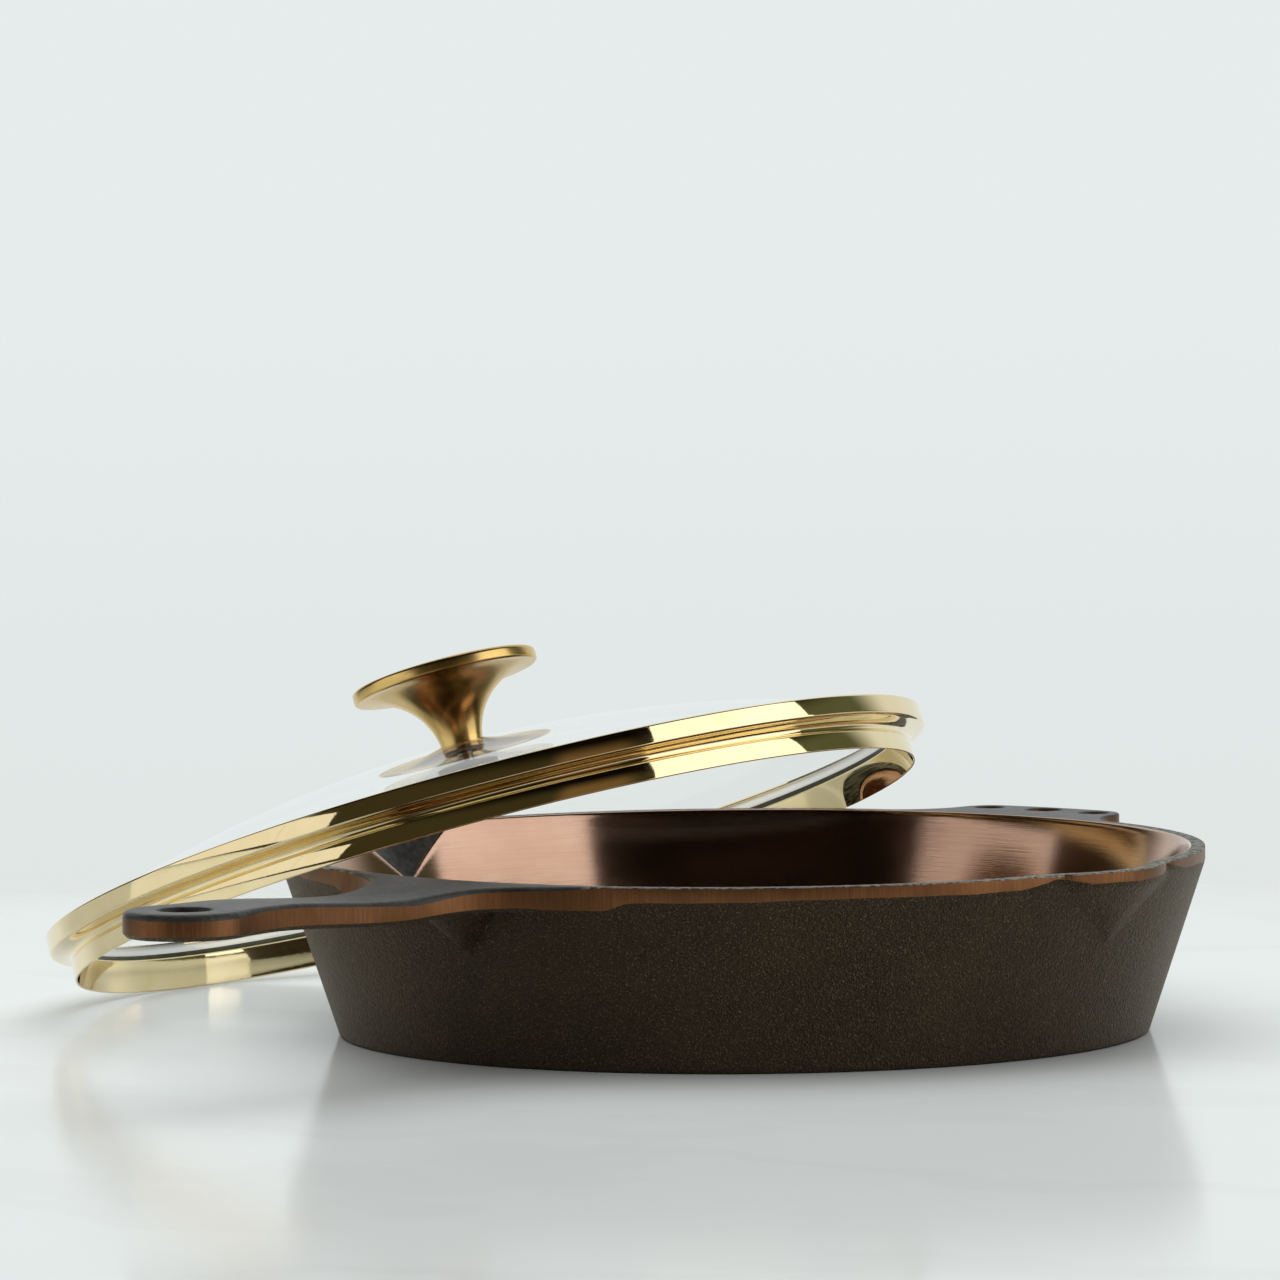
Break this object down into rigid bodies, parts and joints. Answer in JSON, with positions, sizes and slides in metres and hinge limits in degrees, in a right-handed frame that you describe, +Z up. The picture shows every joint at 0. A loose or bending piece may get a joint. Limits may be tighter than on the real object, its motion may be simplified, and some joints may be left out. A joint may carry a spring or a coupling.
{
  "type": "skillet with glass lid",
  "caption": "Cast-iron skillet with pouring lips and long handle, its domed glass lid in a brass-finish ring leaning against the side.",
  "frame": {"origin": "centre of the flat base of the pan", "axes": "+X from the pan's centre towards the tip of the long handle, +Z up; the lid leans on the -Y side of the rim and slopes down towards -Y"},
  "size_m": [0.4208, 0.3586, 0.1076],
  "materials": {
    "cast_iron": "seasoned, as-cast texture outside, machined copper-brown band on rim and handle edges, polished inside",
    "polished_brass": "gold-coloured stainless sheet, mirror polished",
    "satin_brass": "turned and satin polished",
    "tempered_glass": "clear tempered glass",
    "seal_silicone": "dark olive silicone",
    "clear_silicone": "translucent silicone",
    "washer_rubber": "matt black rubber",
    "screw_steel": "stainless steel"
  },
  "bodies": {
    "pan": {"pan_body": "cast_iron", "main_handle": "cast_iron", "helper_handle": "cast_iron"},
    "lid": {"lid_rim": "polished_brass", "lid_glass": "tempered_glass", "glass_seal": "seal_silicone", "knob": "satin_brass", "knob_screw": "screw_steel", "top_washer": "clear_silicone", "low_washer": "washer_rubber", "metal_washer": "polished_brass"}
  },
  "joints": [
    {"name": "lid_lift", "type": "slide", "parent": "pan", "child": "lid", "axis": [0, 0, 1], "range_m": [0, 0.15]}
  ]
}
